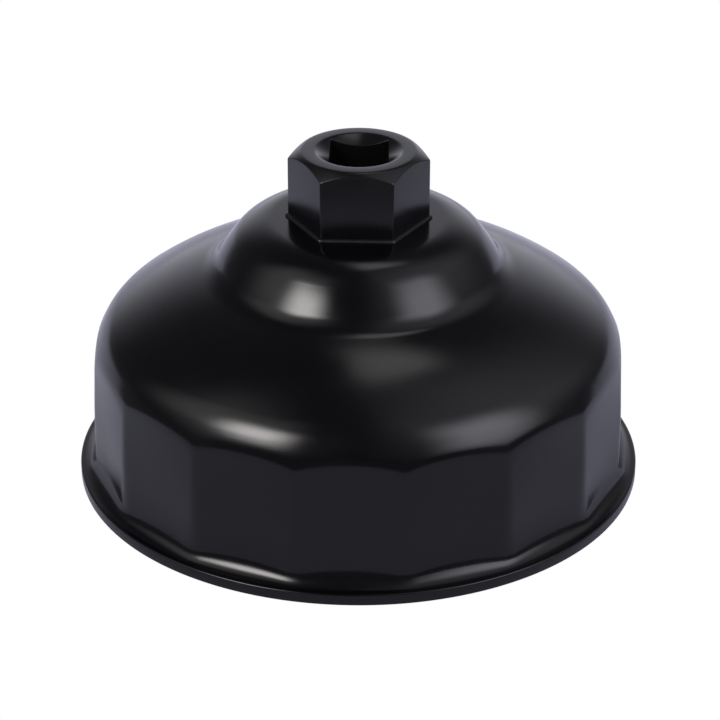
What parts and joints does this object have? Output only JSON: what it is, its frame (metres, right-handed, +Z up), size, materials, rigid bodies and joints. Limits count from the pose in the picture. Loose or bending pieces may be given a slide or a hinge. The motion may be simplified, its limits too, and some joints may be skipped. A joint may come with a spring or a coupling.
{
  "type": "oil filter wrench",
  "caption": "Cap-type oil filter wrench: a fluted black steel cup with a rolled rim, a raised boss and a hexagon with a square drive socket.",
  "frame": {"origin": "centre of the cup's mouth, in the plane of the rim it stands on", "axes": "+Z up the drive axis from the mouth towards the hexagon; -Y is square to one skirt flat, one hexagon flat and one side of the square socket"},
  "size_m": [0.0968, 0.0968, 0.0584],
  "materials": {
    "cup_coating": "semi-gloss black coating with a fine grain, on pressed steel",
    "hex_coating": "semi-gloss black coating on machined steel, thin at the corners",
    "joint_coating": "black coating over a braze line and a weld bead"
  },
  "bodies": {
    "root": {"cup": "cup_coating", "drive_hex": "hex_coating", "hex_braze": "joint_coating", "inner_weld": "joint_coating"}
  },
  "joints": []
}
